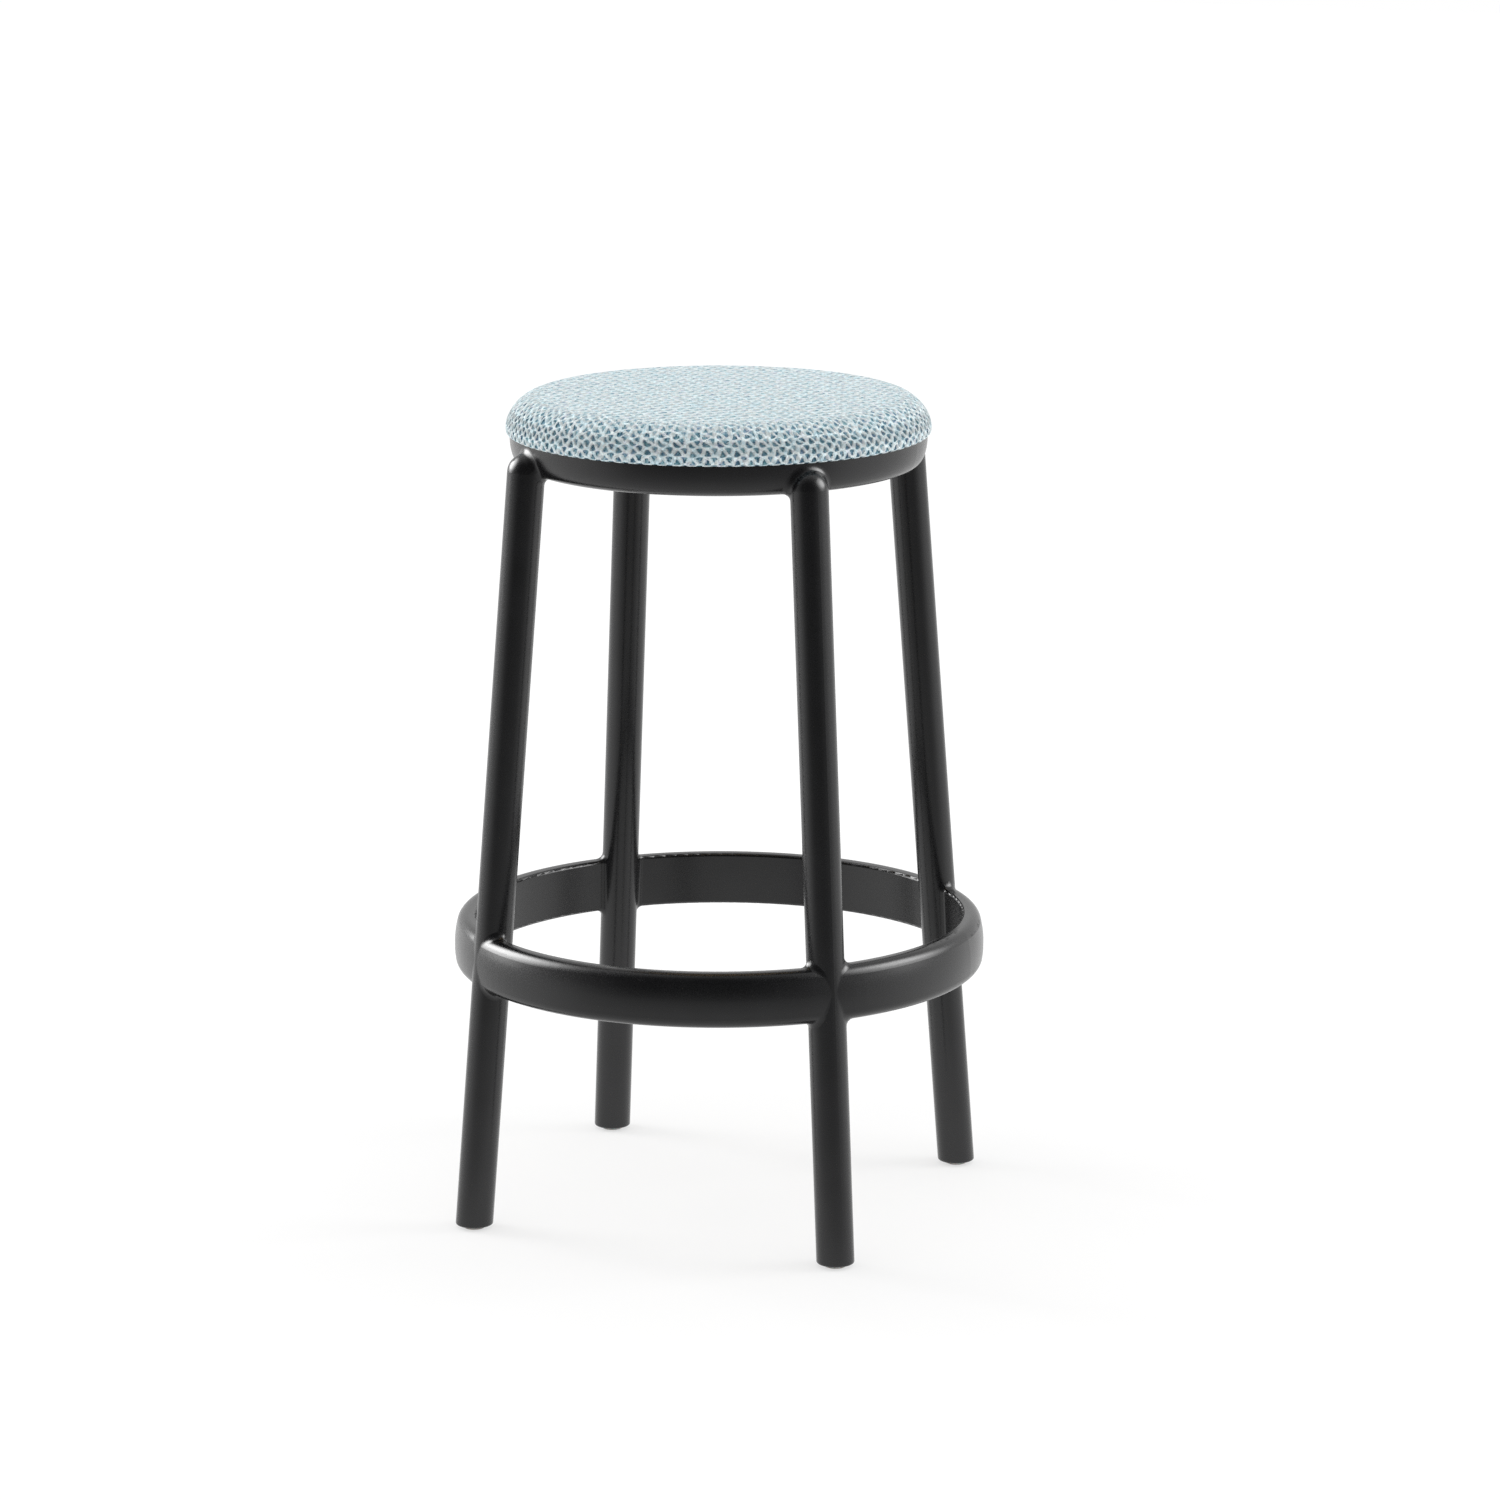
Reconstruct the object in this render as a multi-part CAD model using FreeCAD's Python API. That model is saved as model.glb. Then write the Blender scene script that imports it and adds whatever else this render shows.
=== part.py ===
"""Bar stool with a foot ring: moulded frame, upholstered round seat, push-in glides.

Millimetres. The origin is on the floor under the middle of the seat and +Z is up.
The stool's front is -Y. The four legs stand at 45 degrees to X and Y, and lean
inwards as they rise. Each leg is two tubes. Sleeves inside them join them end to end
to the stubs of the foot ring and to those of the hoop that carries the seat.
"""
import FreeCAD, Part
import math
import os
from FreeCAD import Vector

# ---- overall sizes -----------------------------------------------------------
HOOP_TOP = 757.0           # height of the hoop's flat top face, where the seat lies
FOOT_RADIUS = 260.3        # from the stool's axis to a leg's axis, at the floor
SEAT_RADIUS = 203.0        # widest point of the upholstered seat
SEAT_DEPTH = 36.4          # from the hoop's top face to the top of the seat
FOOTREST_HEIGHT = 260.7    # middle of the foot ring's section

# ---- legs --------------------------------------------------------------------
LEG_RADIUS = 18.0
LEG_WALL = 5.0
LEG_INSET = 1.9            # a leg's axis lies this far inside the hoop's outer edge
GLIDE_STAND = 3.4          # height of the cut end of a leg above the floor
LEG_END_ROUNDING = 2.0
LEGS = {"front_left": 225, "front_right": 315, "back_left": 135, "back_right": 45}

# ---- sleeve joints between the tubes and the stubs of the mouldings -----------
RING_STUB = 5.0            # plain round stub between the ring's blend and its joint
HOOP_STUB = 14.0           # the same under the hoop
SOCKET_DEPTH = 28.0        # a sleeve's reach into the ring or a tube
SLEEVE_WALL = 3.0
SLEEVE_FIT = 0.1           # radial clearance of a sleeve or plug in a tube's bore
SLEEVE_END_PLAY = 0.5
SLEEVE_CHAMFER = 1.0

# ---- foot ring ---------------------------------------------------------------
RING_DEPTH = 52.4          # height of the section, along its leaning inner face
RING_LEAN = 3.0            # degrees that the inner face leans in towards the top
RING_INNER_INSET = 2.4     # inner face inside the leg's axis
RING_CROWN_SETBACK = 0.3   # crown of the outer face behind the leg's outer face
RING_LAND = 7.8            # flat width of the ring's top and bottom
RING_OUTER_EDGE = 10.9     # radius between the flat land and the crowned face
RING_INNER_EDGE = 3.0
RING_BLEND = 7.5           # radius where the ring meets a leg

# ---- hoop under the seat -----------------------------------------------------
SEAT_OVERHANG = 3.6        # seat beyond the hoop's outer edge
HOOP_DEPTH = 30.4
HOOP_TUCK = 18.4           # how far the outer face curves in towards the bottom
HOOP_WIDTH = 31.4          # width of the top face
HOOP_INNER_EDGE = 3.5
HOOP_FULLNESS = 0.71       # 0.55 would be a quarter ellipse, 1 a square corner
HOOP_BLEND = 7.5           # radius where the hoop meets a leg
HEAD_MARGIN = 0.6          # hoop face left between a leg head's blend and the top

# ---- lugs and fasteners that hold the seat -----------------------------------
LUG_REACH = 16.0           # from the hoop's inner wall to a seat screw
LUG_RADIUS = 13.0
LUG_THICKNESS = 9.0
LUG_FILLET = 8.0
SCREW_RADIUS = 3.0
SCREW_LENGTH = 20.0
SCREW_HEAD_RADIUS = 5.5
SCREW_HEAD_HEIGHT = 3.6
SCREW_HEAD_ROUNDING = 2.1
SCREW_SOCKET_RADIUS = 2.3  # hexagon recess, across corners
SCREW_SOCKET_DEPTH = 2.2
SCREW_HOLE_PLAY = 0.4
WASHER_RADIUS = 7.5
WASHER_THICKNESS = 1.5
TEE_NUT_BARREL = 4.0
TEE_NUT_FLANGE = 9.5
TEE_NUT_FLANGE_THICKNESS = 1.5
TEE_NUT_RECESS = 1.0       # end of the barrel above the board's underside
THREAD_PLAY = 0.1

# ---- seat --------------------------------------------------------------------
BOARD_THICKNESS = 12.0
BOARD_EDGE = 2.0
FOAM_SKIRT = 5.0           # foam between the board's edge and the cover
COVER_THICKNESS = 1.5
SEAT_CROWN_WIDTH = 30.0    # rounded shoulder, measured inwards from the widest point
SEAT_CROWN_HEIGHT = 31.0   # rounded shoulder, measured down from the top
SEAT_CROWN_FULLNESS = 0.485
SEAT_HEM_WIDTH = 5.0       # rounded lower corner of the cover
SOFT_FIT = 0.1             # gap between foam, board and cover
HEM_PAST_HOOP = 9.6        # cover turned under the board, past the hoop's inner wall
STAPLES_PER_QUARTER = 8
STAPLE_FROM_HEM_EDGE = 5.5
STAPLE_WIDTH = 12.0
STAPLE_LEG = 8.0
STAPLE_WIRE = (1.2, 0.7)   # flat wire: width and thickness

# ---- feet --------------------------------------------------------------------
PLUG_LENGTH = 24.0
PLUG_CHAMFER = 1.0
GLIDE_RADIUS = 10.2
GLIDE_EDGE = 0.9
GLIDE_STEM_RADIUS = 3.0
GLIDE_STEM_LENGTH = 16.0
GLIDE_STEM_END_PLAY = 1.0
GLIDE_BARB = 0.35
GLIDE_BARBS = 3
GLIDE_STEM_FIT = 0.1

# ---- derived -----------------------------------------------------------------
UP = Vector(0, 0, 1)
ORIGIN = Vector(0, 0, 0)
HOOP_RADIUS = SEAT_RADIUS - SEAT_OVERHANG
HOOP_BOTTOM = HOOP_TOP - HOOP_DEPTH
HOOP_INNER = HOOP_RADIUS - HOOP_WIDTH
SPLAY = (FOOT_RADIUS - (HOOP_RADIUS - LEG_INSET)) / HOOP_TOP
LEG_UP = Vector(-SPLAY, 0, 1).normalize()
LEG_BORE = LEG_RADIUS - LEG_WALL
SLEEVE_RADIUS = LEG_BORE - SLEEVE_FIT
RING_HALF = RING_DEPTH / 2
SEAT_TOP = HOOP_TOP + SEAT_DEPTH
BOARD_BOTTOM = HOOP_TOP + COVER_THICKNESS + SOFT_FIT
BOARD_TOP = BOARD_BOTTOM + BOARD_THICKNESS
BOARD_RADIUS = SEAT_RADIUS - COVER_THICKNESS - FOAM_SKIRT
HEM_RADIUS = HOOP_INNER - HEM_PAST_HOOP
LUG_BOTTOM = HOOP_TOP - LUG_THICKNESS
LUG_HOLE_RADIUS = HOOP_INNER - LUG_REACH
TEE_NUT_HEIGHT = BOARD_THICKNESS - TEE_NUT_RECESS


def leg_axis(height):
    """Distance of a leg's axis from the stool's axis at a height."""
    return FOOT_RADIUS - SPLAY * height


def on_leg(height):
    """Point on the axis of the leg that is drawn over the X axis."""
    return Vector(leg_axis(height), 0, height)


def leg_cylinder(radius, low, high):
    """Round bar along a leg's axis between two heights, with square ends."""
    return Part.makeCylinder(radius, (on_leg(high) - on_leg(low)).Length, on_leg(low), LEG_UP)


def turned(shape, azimuth):
    """Copy of a shape, turned about the stool's axis."""
    copy = shape.copy()
    copy.rotate(ORIGIN, UP, azimuth)
    return copy


def line(start, end):
    return Part.LineSegment(start, end).toShape()


def curve(*poles):
    """Cubic Bezier edge."""
    bezier = Part.BezierCurve()
    bezier.setPoles(list(poles))
    return bezier.toShape()


def flat(radius, height):
    """Point of a section drawn in the XZ plane."""
    return Vector(radius, 0, height)


def spun(edges, angle=360):
    """Solid swept about the stool's axis by a closed outline of edges."""
    return Part.Face(Part.Wire(edges)).revolve(ORIGIN, UP, angle)


def is_leg_face(face):
    """True for the leaning cylinder and the domed top of a leg."""
    surface = face.Surface
    if isinstance(surface, Part.Sphere):
        return True
    leaning = isinstance(surface, Part.Cylinder) and abs(surface.Axis.z) < 0.99999
    return leaning and abs(surface.Radius - LEG_RADIUS) < 1e-6


def is_stub_end(face):
    """True for the square end of a leg stub."""
    surface = face.Surface
    return isinstance(surface, Part.Plane) and 0.5 < abs(surface.Axis.z) < 0.99999


def blend_legs(shape, radius):
    """Round the corner wherever a leg stub meets the rest of a moulding."""
    corners = []
    for edge in shape.Edges:
        faces = shape.ancestorsOfType(edge, Part.Face)
        leg_faces = [face for face in faces if is_leg_face(face)]
        if len(faces) == 2 and len(leg_faces) == 1 and not any(map(is_stub_end, faces)):
            corners.append(edge)
    return shape.makeFillet(radius, corners)


# ---- foot ring ---------------------------------------------------------------
def ring_point(across, out):
    """Point of the ring's section: along its leaning inner face, and out from it."""
    lean = math.radians(RING_LEAN)
    inner = leg_axis(FOOTREST_HEIGHT) - RING_INNER_INSET
    return flat(
        inner - across * math.sin(lean) + out * math.cos(lean),
        FOOTREST_HEIGHT + across * math.cos(lean) + out * math.sin(lean),
    )


def ring_arc(across, out, radius, start, end):
    """Arc of the ring's section about a centre; angles from straight out."""
    angles = (start, (start + end) / 2, end)
    points = [ring_point(across + radius * math.sin(a), out + radius * math.cos(a)) for a in angles]
    return Part.Arc(*points).toShape()


def make_ring():
    """The plain ring: a D-shaped section swept round."""
    outer_face = leg_axis(FOOTREST_HEIGHT) + LEG_RADIUS / LEG_UP.z - RING_CROWN_SETBACK
    depth = outer_face - (leg_axis(FOOTREST_HEIGHT) - RING_INNER_INSET)
    reach = RING_HALF - RING_OUTER_EDGE
    rise = depth - RING_LAND
    crown = (reach ** 2 + rise ** 2 - RING_OUTER_EDGE ** 2) / (2 * (rise - RING_OUTER_EDGE))
    half_angle = math.asin(reach / (crown - RING_OUTER_EDGE))
    back = RING_HALF - RING_INNER_EDGE
    square = math.pi / 2
    return spun([
        line(ring_point(-back, 0), ring_point(back, 0)),
        ring_arc(back, RING_INNER_EDGE, RING_INNER_EDGE, 2 * square, square),
        line(ring_point(RING_HALF, RING_INNER_EDGE), ring_point(RING_HALF, RING_LAND)),
        ring_arc(reach, RING_LAND, RING_OUTER_EDGE, square, half_angle),
        ring_arc(0, depth - crown, crown, half_angle, -half_angle),
        ring_arc(-reach, RING_LAND, RING_OUTER_EDGE, -half_angle, -square),
        line(ring_point(-RING_HALF, RING_LAND), ring_point(-RING_HALF, RING_INNER_EDGE)),
        ring_arc(-back, RING_INNER_EDGE, RING_INNER_EDGE, -square, -2 * square),
    ])


RING_LOW_JOINT = FOOTREST_HEIGHT - RING_HALF - RING_BLEND - RING_STUB
RING_HIGH_JOINT = FOOTREST_HEIGHT + RING_HALF + RING_BLEND + RING_STUB
HOOP_JOINT = HOOP_BOTTOM - HOOP_BLEND - HOOP_STUB


def make_foot_ring():
    ring = make_ring()
    stub = leg_cylinder(LEG_RADIUS, RING_LOW_JOINT, RING_HIGH_JOINT)
    low_socket = leg_cylinder(LEG_BORE, RING_LOW_JOINT, RING_LOW_JOINT + SOCKET_DEPTH)
    high_socket = leg_cylinder(LEG_BORE, RING_HIGH_JOINT - SOCKET_DEPTH, RING_HIGH_JOINT)
    for azimuth in LEGS.values():
        ring = ring.fuse(turned(stub, azimuth))
    ring = blend_legs(ring, RING_BLEND)
    for azimuth in LEGS.values():
        ring = ring.cut(turned(low_socket, azimuth)).cut(turned(high_socket, azimuth))
    return ring


# ---- hoop --------------------------------------------------------------------
def make_hoop():
    """The plain hoop: flat on top, its outer face curving in to a narrower bottom."""
    foot = HOOP_RADIUS - HOOP_TUCK
    edge = HOOP_INNER_EDGE
    middle = math.sqrt(0.5) * edge
    return spun([
        curve(
            flat(HOOP_RADIUS, HOOP_TOP),
            flat(HOOP_RADIUS, HOOP_TOP - HOOP_FULLNESS * HOOP_DEPTH),
            flat(foot + HOOP_FULLNESS * HOOP_TUCK, HOOP_BOTTOM),
            flat(foot, HOOP_BOTTOM),
        ),
        line(flat(foot, HOOP_BOTTOM), flat(HOOP_INNER + edge, HOOP_BOTTOM)),
        Part.Arc(
            flat(HOOP_INNER + edge, HOOP_BOTTOM),
            flat(HOOP_INNER + edge - middle, HOOP_BOTTOM + edge - middle),
            flat(HOOP_INNER, HOOP_BOTTOM + edge),
        ).toShape(),
        line(flat(HOOP_INNER, HOOP_BOTTOM + edge), flat(HOOP_INNER, HOOP_TOP)),
        line(flat(HOOP_INNER, HOOP_TOP), flat(HOOP_RADIUS, HOOP_TOP)),
    ])


def dome_height():
    """Height of a leg's domed head's centre, as high as its blend leaves room for."""
    reach = LEG_RADIUS + HOOP_BLEND
    out = HOOP_BLEND + HOOP_RADIUS - leg_axis(HOOP_TOP - LEG_RADIUS - HOOP_BLEND)
    return HOOP_TOP - HEAD_MARGIN - math.sqrt(reach ** 2 - out ** 2)


def leg_head():
    """Domed stub that stands half proud of the hoop, for the leg over the X axis."""
    height = dome_height()
    dome_axis = Vector(1, 0, 1)
    dome = Part.makeSphere(LEG_RADIUS, on_leg(height), dome_axis)
    dome.rotate(on_leg(height), dome_axis, 180)
    return leg_cylinder(LEG_RADIUS, HOOP_JOINT, height).fuse(dome)


def lug():
    """Tongue inside the hoop that takes one seat screw, in line with the X axis."""
    root = HOOP_INNER + HOOP_INNER_EDGE
    tongue = Part.makeCylinder(LUG_RADIUS, LUG_THICKNESS, flat(LUG_HOLE_RADIUS, LUG_BOTTOM), UP)
    bar = Part.makeBox(root - LUG_HOLE_RADIUS, 2 * LUG_RADIUS, LUG_THICKNESS,
                       Vector(LUG_HOLE_RADIUS, -LUG_RADIUS, LUG_BOTTOM))
    return tongue.fuse(bar).removeSplitter()


def lug_corners(hoop):
    """Upright corners between the lugs and the hoop's inner wall."""
    corners = []
    for edge in hoop.Edges:
        box = edge.BoundBox
        upright = abs(box.ZLength - LUG_THICKNESS) < 1e-3 and box.XLength + box.YLength < 1e-3
        if upright and abs(math.hypot(box.Center.x, box.Center.y) - HOOP_INNER) < 1e-3:
            corners.append(edge)
    return corners


def make_seat_hoop():
    hoop = make_hoop()
    head = leg_head()
    for azimuth in LEGS.values():
        hoop = hoop.fuse(turned(head, azimuth))
    hoop = blend_legs(hoop, HOOP_BLEND)
    for azimuth in LEGS.values():
        hoop = hoop.fuse(turned(lug(), azimuth))
    hoop = hoop.removeSplitter()
    hoop = hoop.makeFillet(LUG_FILLET, lug_corners(hoop))
    socket = leg_cylinder(LEG_BORE, HOOP_JOINT, dome_height())
    screw_hole = Part.makeCylinder(SCREW_RADIUS + SCREW_HOLE_PLAY, LUG_THICKNESS,
                                   flat(LUG_HOLE_RADIUS, LUG_BOTTOM), UP)
    for azimuth in LEGS.values():
        hoop = hoop.cut(turned(socket, azimuth)).cut(turned(screw_hole, azimuth))
    return hoop


# ---- sleeves in the joints ---------------------------------------------------
def make_sleeve(joint, reach_down, reach_up):
    """Chamfered sleeve inside a leg, across a joint at a height on its axis."""
    low = joint - reach_down + SLEEVE_END_PLAY
    high = joint + reach_up - SLEEVE_END_PLAY
    bar = leg_cylinder(SLEEVE_RADIUS, low, high)
    rims = [edge for edge in bar.Edges if isinstance(edge.Curve, Part.Circle)]
    bore = leg_cylinder(SLEEVE_RADIUS - SLEEVE_WALL, low, high)
    return bar.makeChamfer(SLEEVE_CHAMFER, rims).cut(bore)


# ---- leg tubes and feet ------------------------------------------------------
def leg_tube(low, high):
    bore = leg_cylinder(LEG_BORE, low, high)
    return leg_cylinder(LEG_RADIUS, low, high).cut(bore)


def above_leg_end(shape):
    """Cut a leaning piece level at the height of the legs' ends."""
    size = 4 * LEG_RADIUS
    corner = Vector(leg_axis(0) - size / 2, -size / 2, GLIDE_STAND - size)
    return shape.cut(Part.makeBox(size, size, size, corner))


def make_lower_leg():
    tube = above_leg_end(leg_tube(-LEG_RADIUS, RING_LOW_JOINT))
    level = [edge for edge in tube.Edges if edge.BoundBox.ZMax < GLIDE_STAND + 1e-3]
    rim = max(level, key=lambda edge: edge.Length)
    return tube.makeFillet(LEG_END_ROUNDING, [rim])


def stem_hole(radius, length):
    """Upright hole or stem above the middle of a leg's end."""
    return Part.makeCylinder(radius, length, Vector(leg_axis(GLIDE_STAND), 0, GLIDE_STAND), UP)


def make_leg_end_plug():
    plug = above_leg_end(leg_cylinder(SLEEVE_RADIUS, -LEG_RADIUS, GLIDE_STAND + PLUG_LENGTH))
    top = max(plug.Edges, key=lambda edge: edge.BoundBox.ZMin)
    plug = plug.makeChamfer(PLUG_CHAMFER, [top])
    bore_radius = GLIDE_STEM_RADIUS + GLIDE_BARB + GLIDE_STEM_FIT
    return plug.cut(stem_hole(bore_radius, GLIDE_STEM_LENGTH + GLIDE_STEM_END_PLAY))


def make_glide():
    centre = Vector(leg_axis(GLIDE_STAND), 0, 0)
    disc = Part.makeCylinder(GLIDE_RADIUS, GLIDE_STAND, centre, UP)
    floor_edge = [edge for edge in disc.Edges if edge.BoundBox.ZMax < 1e-3]
    glide = disc.makeFillet(GLIDE_EDGE, floor_edge).fuse(stem_hole(GLIDE_STEM_RADIUS, GLIDE_STEM_LENGTH))
    pitch = GLIDE_STEM_LENGTH / (GLIDE_BARBS + 1)
    for barb in range(1, GLIDE_BARBS + 1):
        foot = Vector(centre.x, 0, GLIDE_STAND + barb * pitch)
        wide = GLIDE_STEM_RADIUS + GLIDE_BARB
        glide = glide.fuse(Part.makeCone(wide, GLIDE_STEM_RADIUS, pitch / 2, foot, UP))
    return glide


# ---- seat --------------------------------------------------------------------
def seat_outline(inset):
    """Edges of the seat's outside from the axis to its flat underside, offset in."""
    top = SEAT_TOP - inset
    wide = SEAT_RADIUS - inset
    shoulder = SEAT_TOP - SEAT_CROWN_HEIGHT
    level = SEAT_RADIUS - SEAT_CROWN_WIDTH
    bottom = HOOP_TOP + inset
    corner = SEAT_RADIUS - SEAT_HEM_WIDTH
    full = SEAT_CROWN_FULLNESS
    return [
        line(flat(0, top), flat(level, top)),
        curve(
            flat(level, top),
            flat(level + full * (wide - level), top),
            flat(wide, shoulder + full * (top - shoulder)),
            flat(wide, shoulder),
        ),
        curve(
            flat(wide, shoulder),
            flat(wide, shoulder - full * (shoulder - bottom)),
            flat(corner + full * (wide - corner), bottom),
            flat(corner, bottom),
        ),
    ]


def seat_solid(inset):
    """Solid seat shape inside the outline, closed down to its flat underside."""
    corner = flat(SEAT_RADIUS - SEAT_HEM_WIDTH, HOOP_TOP + inset)
    edges = seat_outline(inset) + [
        line(corner, flat(0, corner.z)),
        line(flat(0, corner.z), flat(0, SEAT_TOP - inset)),
    ]
    return spun(edges)


def make_seat_cover(staples):
    hem_opening = Part.makeCylinder(HEM_RADIUS, BOARD_THICKNESS, flat(0, HOOP_TOP), UP)
    cover = seat_solid(0).cut(seat_solid(COVER_THICKNESS)).cut(hem_opening)
    return cover.cut(staples)


def make_seat_foam():
    board_pocket = Part.makeCylinder(BOARD_RADIUS + SOFT_FIT, BOARD_THICKNESS + 2 * SOFT_FIT,
                                     flat(0, BOARD_BOTTOM - SOFT_FIT), UP)
    return seat_solid(COVER_THICKNESS + SOFT_FIT).cut(board_pocket)


def make_seat_board(staples):
    board = Part.makeCylinder(BOARD_RADIUS, BOARD_THICKNESS, flat(0, BOARD_BOTTOM), UP)
    rims = [edge for edge in board.Edges if edge.BoundBox.ZLength < 1e-3]
    board = board.makeFillet(BOARD_EDGE, rims)
    barrel_hole = Part.makeCylinder(TEE_NUT_BARREL + SOFT_FIT, BOARD_THICKNESS,
                                    flat(LUG_HOLE_RADIUS, BOARD_BOTTOM), UP)
    seat_depth = TEE_NUT_FLANGE_THICKNESS
    flange_seat = Part.makeCylinder(TEE_NUT_FLANGE + SOFT_FIT, seat_depth,
                                    flat(LUG_HOLE_RADIUS, BOARD_TOP - seat_depth), UP)
    for azimuth in LEGS.values():
        board = board.cut(turned(barrel_hole.fuse(flange_seat), azimuth))
    return board.cut(staples)


def make_staple():
    """Staple driven up through the hem, its crown along the hem's edge."""
    width, thickness = STAPLE_WIRE
    reach = HEM_RADIUS + STAPLE_FROM_HEM_EDGE
    crown_bottom = HOOP_TOP - thickness
    crown = Part.makeBox(width, STAPLE_WIDTH, thickness,
                         Vector(reach, -STAPLE_WIDTH / 2, crown_bottom))
    staple = crown
    for side in (-STAPLE_WIDTH / 2, STAPLE_WIDTH / 2 - thickness):
        leg = Part.makeBox(width, thickness, STAPLE_LEG, Vector(reach, side, crown_bottom))
        staple = staple.fuse(leg)
    return staple.removeSplitter()


def make_cover_staples():
    """Staples round the hem, clear of the lugs."""
    staple = make_staple()
    step = 90 / (STAPLES_PER_QUARTER + 1)
    azimuths = [start + step * (i + 1) for start in LEGS.values() for i in range(STAPLES_PER_QUARTER)]
    return Part.makeCompound([turned(staple, azimuth) for azimuth in azimuths])


# ---- seat fasteners ----------------------------------------------------------
def hexagon(radius, height, centre):
    corners = []
    for side in range(7):
        angle = math.radians(60 * side)
        corners.append(centre + Vector(radius * math.cos(angle), radius * math.sin(angle), 0))
    return Part.Face(Part.makePolygon(corners)).extrude(UP * height)


def make_seat_screw():
    """Button-head screw with a hexagon recess, driven upwards."""
    under_head = LUG_BOTTOM - WASHER_THICKNESS
    head_bottom = flat(LUG_HOLE_RADIUS, under_head - SCREW_HEAD_HEIGHT)
    head = Part.makeCylinder(SCREW_HEAD_RADIUS, SCREW_HEAD_HEIGHT, head_bottom, UP)
    lower_rim = [edge for edge in head.Edges if edge.BoundBox.ZMax < head_bottom.z + 1e-3]
    head = head.makeFillet(SCREW_HEAD_ROUNDING, lower_rim)
    head = head.cut(hexagon(SCREW_SOCKET_RADIUS, SCREW_SOCKET_DEPTH, head_bottom))
    shank = Part.makeCylinder(SCREW_RADIUS, SCREW_LENGTH, flat(LUG_HOLE_RADIUS, under_head), UP)
    return head.fuse(shank)


def make_seat_washer():
    bottom = flat(LUG_HOLE_RADIUS, LUG_BOTTOM - WASHER_THICKNESS)
    disc = Part.makeCylinder(WASHER_RADIUS, WASHER_THICKNESS, bottom, UP)
    hole = Part.makeCylinder(SCREW_RADIUS + SCREW_HOLE_PLAY, WASHER_THICKNESS, bottom, UP)
    return disc.cut(hole)


def make_tee_nut():
    bottom = flat(LUG_HOLE_RADIUS, BOARD_TOP - TEE_NUT_HEIGHT)
    flange_bottom = flat(LUG_HOLE_RADIUS, BOARD_TOP - TEE_NUT_FLANGE_THICKNESS)
    barrel = Part.makeCylinder(TEE_NUT_BARREL, TEE_NUT_HEIGHT, bottom, UP)
    flange = Part.makeCylinder(TEE_NUT_FLANGE, TEE_NUT_FLANGE_THICKNESS, flange_bottom, UP)
    bore = Part.makeCylinder(SCREW_RADIUS + THREAD_PLAY, TEE_NUT_HEIGHT, bottom, UP)
    return barrel.fuse(flange).cut(bore)


def four(piece):
    """One of a piece at each leg, as a group of separate solids."""
    return Part.makeCompound([turned(piece, azimuth) for azimuth in LEGS.values()])


def build():
    staples = make_cover_staples()
    nodes = {
        "seat_hoop": make_seat_hoop(),
        "foot_ring": make_foot_ring(),
        "seat_board": make_seat_board(staples),
        "seat_foam": make_seat_foam(),
        "seat_cover": make_seat_cover(staples),
        "cover_staples": staples,
        "seat_screws": four(make_seat_screw()),
        "seat_washers": four(make_seat_washer()),
        "tee_nuts": four(make_tee_nut()),
        "hoop_sleeves": four(make_sleeve(HOOP_JOINT, SOCKET_DEPTH, dome_height() - HOOP_JOINT)),
        "upper_ring_sleeves": four(make_sleeve(RING_HIGH_JOINT, SOCKET_DEPTH, SOCKET_DEPTH)),
        "lower_ring_sleeves": four(make_sleeve(RING_LOW_JOINT, SOCKET_DEPTH, SOCKET_DEPTH)),
    }
    pieces_of_a_leg = {
        "upper_leg": leg_tube(RING_HIGH_JOINT, HOOP_JOINT),
        "lower_leg": make_lower_leg(),
        "leg_end_plug": make_leg_end_plug(),
        "glide": make_glide(),
    }
    for piece_name, piece in pieces_of_a_leg.items():
        for leg_name, azimuth in LEGS.items():
            nodes[piece_name + "_" + leg_name] = turned(piece, azimuth)
    return nodes


os.makedirs("parts", exist_ok=True)
for node_name, node_shape in build().items():
    node_shape.exportStep("parts/" + node_name + ".step")
    print(node_name, "valid", node_shape.isValid(), "volume", round(node_shape.Volume))
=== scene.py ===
"""Bar stool with footrest: a round knitted seat pad on a moulded black nylon frame.

The frame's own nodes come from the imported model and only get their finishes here. The
soft seat is made here: a pad form is blown up gently as cloth, and the cover's top panel
and side band are knitted over it, with the foam pad underneath.
"""

import math

import bpy
import numpy as np
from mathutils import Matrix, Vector
from mathutils.bvhtree import BVHTree


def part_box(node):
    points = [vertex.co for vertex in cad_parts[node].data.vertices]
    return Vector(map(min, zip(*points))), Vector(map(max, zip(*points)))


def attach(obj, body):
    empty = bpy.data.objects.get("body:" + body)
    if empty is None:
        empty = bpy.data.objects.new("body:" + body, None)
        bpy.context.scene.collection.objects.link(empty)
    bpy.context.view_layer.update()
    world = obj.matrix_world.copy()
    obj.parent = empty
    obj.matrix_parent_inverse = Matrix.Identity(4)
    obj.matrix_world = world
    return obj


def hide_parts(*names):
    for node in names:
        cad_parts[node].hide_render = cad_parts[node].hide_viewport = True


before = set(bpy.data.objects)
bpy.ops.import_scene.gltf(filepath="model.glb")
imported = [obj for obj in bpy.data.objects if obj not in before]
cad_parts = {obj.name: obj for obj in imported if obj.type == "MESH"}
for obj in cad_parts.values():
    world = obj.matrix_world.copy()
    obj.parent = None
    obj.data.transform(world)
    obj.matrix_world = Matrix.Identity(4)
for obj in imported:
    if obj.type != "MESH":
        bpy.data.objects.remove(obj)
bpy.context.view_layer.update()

MM = 0.001


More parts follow.
